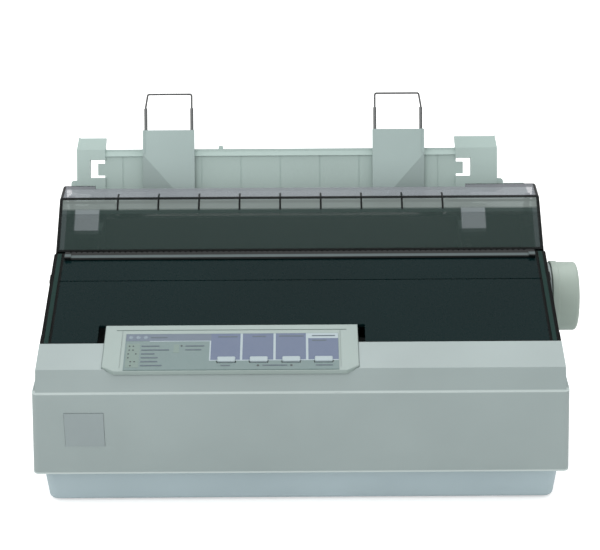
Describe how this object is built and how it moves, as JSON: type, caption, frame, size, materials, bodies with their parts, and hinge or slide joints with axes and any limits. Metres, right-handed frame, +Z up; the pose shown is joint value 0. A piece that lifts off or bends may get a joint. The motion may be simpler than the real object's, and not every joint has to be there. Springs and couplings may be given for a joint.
{
  "type": "dot matrix printer",
  "caption": "Narrow-carriage impact printer with smoked hinged covers, control panel, platen knob, tilting sheet guide, pin-feed tractor and travelling print head.",
  "frame": {"origin": "middle of the bounding box, at the level that the feet rest on", "axes": "+X to the operator's right, +Y to the rear, +Z up"},
  "size_m": [0.3923, 0.275, 0.2191],
  "materials": {
    "tray": "bluish grey moulded plastic, finely textured",
    "case": "pale grey-green moulded plastic, finely textured",
    "foot_rubber": "black rubber",
    "steel": "zinc plated screw",
    "badge": "bare plate, smooth satin",
    "panel_frame": "pale grey-green plastic, satin",
    "overlay": "printed film, satin",
    "circuit_board": "green board with dark components",
    "frame_steel": "zinc plated sheet",
    "bright_steel": "ground rod",
    "motor_case": "plated motor can",
    "black_plastic": "black moulded plastic",
    "belt_rubber": "toothed rubber belt",
    "socket_plastic": "socket in a metal shell",
    "socket_metal": "plated shell",
    "smoked_cover": "dark smoked clear plastic, glossy",
    "smoked_flap": "smoked clear plastic, glossy",
    "tear_bar": "pale tear-off bar",
    "button": "off-white push button",
    "platen_rubber": "ground black rubber",
    "knob": "grey plastic, finely textured",
    "gear_plastic": "natural white nylon",
    "pinion_brass": "brass pinion",
    "pinch_rubber": "small rubber rollers on a rod",
    "tractor_plastic": "dark moulded plastic",
    "head_metal": "die-cast head",
    "sink_metal": "black finned heat sink",
    "ribbon_knob": "grey knurled knob",
    "guide_plastic": "pale grey-green plastic",
    "edge_plastic": "grey-green plastic",
    "sleeve_steel": "steel sleeve",
    "wire_steel": "spring steel wire",
    "lever_plastic": "grey plastic lever"
  },
  "bodies": {
    "base": {"lower_case": "tray", "upper_case": "case", "rubber_feet": "foot_rubber", "case_screws": "steel", "badge_plate": "badge", "control_panel": "panel_frame", "panel_overlay": "overlay", "panel_board": "circuit_board", "side_plate_left": "frame_steel", "side_plate_right": "frame_steel", "carriage_shaft": "bright_steel", "carriage_rail": "frame_steel", "feed_motor": "motor_case", "paper_guide": "black_plastic", "drive_belt": "belt_rubber", "carriage_motor": "motor_case", "ribbon_cartridge": "black_plastic", "tractor_bar": "bright_steel", "tractor_blocks": "black_plastic", "guide_brackets": "guide_plastic", "main_board": "circuit_board", "power_supply": "circuit_board", "parallel_connector": "socket_plastic", "serial_connector": "socket_metal", "power_inlet": "black_plastic", "switch_frame": "black_plastic"},
    "front_cover": {"front_cover": "smoked_cover", "tear_bar": "tear_bar"},
    "rear_flap": {"rear_flap": "smoked_flap"},
    "button_1": {"push_button_1": "button"},
    "button_2": {"push_button_2": "button"},
    "button_3": {"push_button_3": "button"},
    "button_4": {"push_button_4": "button"},
    "platen": {"platen_roller": "platen_rubber", "platen_shaft": "bright_steel", "platen_knob": "knob", "platen_gear": "gear_plastic"},
    "idler_front": {"idler_gear_front": "gear_plastic"},
    "idler_rear": {"idler_gear_rear": "gear_plastic"},
    "reduction": {"reduction_gear": "gear_plastic"},
    "pinion": {"feed_pinion": "pinion_brass"},
    "pinch": {"pinch_rollers": "pinch_rubber"},
    "tractor": {"tractor_shaft": "tractor_plastic"},
    "carriage": {"carriage": "black_plastic", "print_head": "head_metal", "head_heat_sink": "sink_metal"},
    "drive_pulley": {"drive_pulley": "gear_plastic"},
    "idler_pulley": {"idler_pulley": "gear_plastic"},
    "ribbon_knob": {"ribbon_knob": "ribbon_knob"},
    "lid_left": {"tractor_lid_left": "tractor_plastic"},
    "lid_right": {"tractor_lid_right": "tractor_plastic"},
    "sheet_guide": {"sheet_guide": "guide_plastic"},
    "edge_guide_left": {"edge_guide_left": "edge_plastic", "wire_sleeves_left": "sleeve_steel"},
    "edge_guide_right": {"edge_guide_right": "edge_plastic", "wire_sleeves_right": "sleeve_steel"},
    "wire_left": {"wire_support_left": "wire_steel"},
    "wire_right": {"wire_support_right": "wire_steel"},
    "rocker": {"power_rocker": "black_plastic"},
    "release_lever": {"release_lever": "lever_plastic"}
  },
  "joints": [
    {"name": "front_cover_hinge", "type": "hinge", "parent": "base", "child": "front_cover", "pos_m": [-0.009, -0.09549, 0.10985], "axis": [1, 0, 0], "range_deg": [0, 80]},
    {"name": "rear_flap_hinge", "type": "hinge", "parent": "base", "child": "rear_flap", "pos_m": [-0.009, 0.05481, 0.1524], "axis": [-1, 0, 0], "range_deg": [0, 84]},
    {"name": "button_1_press", "type": "slide", "parent": "base", "child": "button_1", "axis": [0, 0.2164, -0.9763], "range_m": [0, 0.001], "stiffness_N_per_m": 600, "springref_m": -0.0005},
    {"name": "button_2_press", "type": "slide", "parent": "base", "child": "button_2", "axis": [0, 0.2164, -0.9763], "range_m": [0, 0.001], "stiffness_N_per_m": 600, "springref_m": -0.0005},
    {"name": "button_3_press", "type": "slide", "parent": "base", "child": "button_3", "axis": [0, 0.2164, -0.9763], "range_m": [0, 0.001], "stiffness_N_per_m": 600, "springref_m": -0.0005},
    {"name": "button_4_press", "type": "slide", "parent": "base", "child": "button_4", "axis": [0, 0.2164, -0.9763], "range_m": [0, 0.001], "stiffness_N_per_m": 600, "springref_m": -0.0005},
    {"name": "platen_turn", "type": "hinge", "parent": "base", "child": "platen", "pos_m": [-0.009, -0.0065, 0.099], "axis": [1, 0, 0], "continuous": true},
    {"name": "idler_front_turn", "type": "hinge", "parent": "base", "child": "idler_front", "pos_m": [0.1171, 0.03349, 0.09969], "axis": [1, 0, 0], "continuous": true},
    {"name": "idler_rear_turn", "type": "hinge", "parent": "base", "child": "idler_rear", "pos_m": [0.1171, 0.06839, 0.10243], "axis": [1, 0, 0], "continuous": true},
    {"name": "reduction_turn", "type": "hinge", "parent": "base", "child": "reduction", "pos_m": [0.1171, -0.02442, 0.0734], "axis": [1, 0, 0], "continuous": true},
    {"name": "pinion_turn", "type": "hinge", "parent": "base", "child": "pinion", "pos_m": [0.1171, -0.03554, 0.04286], "axis": [1, 0, 0], "continuous": true},
    {"name": "pinch_turn", "type": "hinge", "parent": "base", "child": "pinch", "pos_m": [-0.009, -0.01037, 0.07704], "axis": [1, 0, 0], "continuous": true},
    {"name": "tractor_turn", "type": "hinge", "parent": "base", "child": "tractor", "pos_m": [-0.009, 0.1055, 0.1078], "axis": [1, 0, 0], "continuous": true},
    {"name": "carriage_slide", "type": "slide", "parent": "base", "child": "carriage", "axis": [1, 0, 0], "range_m": [-0.104, 0.104]},
    {"name": "drive_pulley_turn", "type": "hinge", "parent": "base", "child": "drive_pulley", "pos_m": [-0.1395, -0.0605, 0.066], "axis": [0, 0, 1], "range_deg": [-755, 755]},
    {"name": "idler_pulley_turn", "type": "hinge", "parent": "base", "child": "idler_pulley", "pos_m": [0.0945, -0.0605, 0.066], "axis": [0, 0, 1], "range_deg": [-755, 755]},
    {"name": "ribbon_knob_turn", "type": "hinge", "parent": "base", "child": "ribbon_knob", "pos_m": [0.0845, -0.0845, 0.1035], "axis": [0, 0, 1], "continuous": true},
    {"name": "tractor_lid_left_hinge", "type": "hinge", "parent": "base", "child": "lid_left", "pos_m": [-0.1488, 0.1055, 0.11993], "axis": [0, -1, 0], "range_deg": [0, 100]},
    {"name": "tractor_lid_right_hinge", "type": "hinge", "parent": "base", "child": "lid_right", "pos_m": [0.1018, 0.1055, 0.11993], "axis": [0, 1, 0], "range_deg": [0, 100]},
    {"name": "sheet_guide_tilt", "type": "hinge", "parent": "base", "child": "sheet_guide", "pos_m": [-0.009, 0.0695, 0.141], "axis": [-1, 0, 0], "range_deg": [0, 50]},
    {"name": "edge_guide_left_slide", "type": "slide", "parent": "sheet_guide", "child": "edge_guide_left", "axis": [1, 0, 0], "range_m": [-0.012, 0.04]},
    {"name": "edge_guide_right_slide", "type": "slide", "parent": "sheet_guide", "child": "edge_guide_right", "axis": [1, 0, 0], "range_m": [-0.04, 0.012]},
    {"name": "wire_left_pull", "type": "slide", "parent": "edge_guide_left", "child": "wire_left", "axis": [0, 0.4226, 0.9063], "range_m": [0, 0.024]},
    {"name": "wire_right_pull", "type": "slide", "parent": "edge_guide_right", "child": "wire_right", "axis": [0, 0.4226, 0.9063], "range_m": [0, 0.024]},
    {"name": "power_rocker_turn", "type": "hinge", "parent": "base", "child": "rocker", "pos_m": [-0.18751, -0.0925, 0.062], "axis": [0, 0, 1], "range_deg": [-22, 0]},
    {"name": "release_lever_turn", "type": "hinge", "parent": "base", "child": "release_lever", "pos_m": [-0.1625, 0.0135, 0.075], "axis": [1, 0, 0], "range_deg": [0, 20]}
  ],
  "couplings": [
    {"joint": "idler_front_turn", "follows": "platen_turn", "ratio": -1.2857},
    {"joint": "idler_rear_turn", "follows": "platen_turn", "ratio": 1.2857},
    {"joint": "tractor_turn", "follows": "platen_turn", "ratio": -1.125},
    {"joint": "reduction_turn", "follows": "platen_turn", "ratio": -2.5714},
    {"joint": "pinion_turn", "follows": "platen_turn", "ratio": 8.5714},
    {"joint": "pinch_turn", "follows": "platen_turn", "ratio": -3.4},
    {"joint": "drive_pulley_turn", "follows": "carriage_slide", "rad_per_m": -125},
    {"joint": "idler_pulley_turn", "follows": "carriage_slide", "rad_per_m": -125}
  ]
}
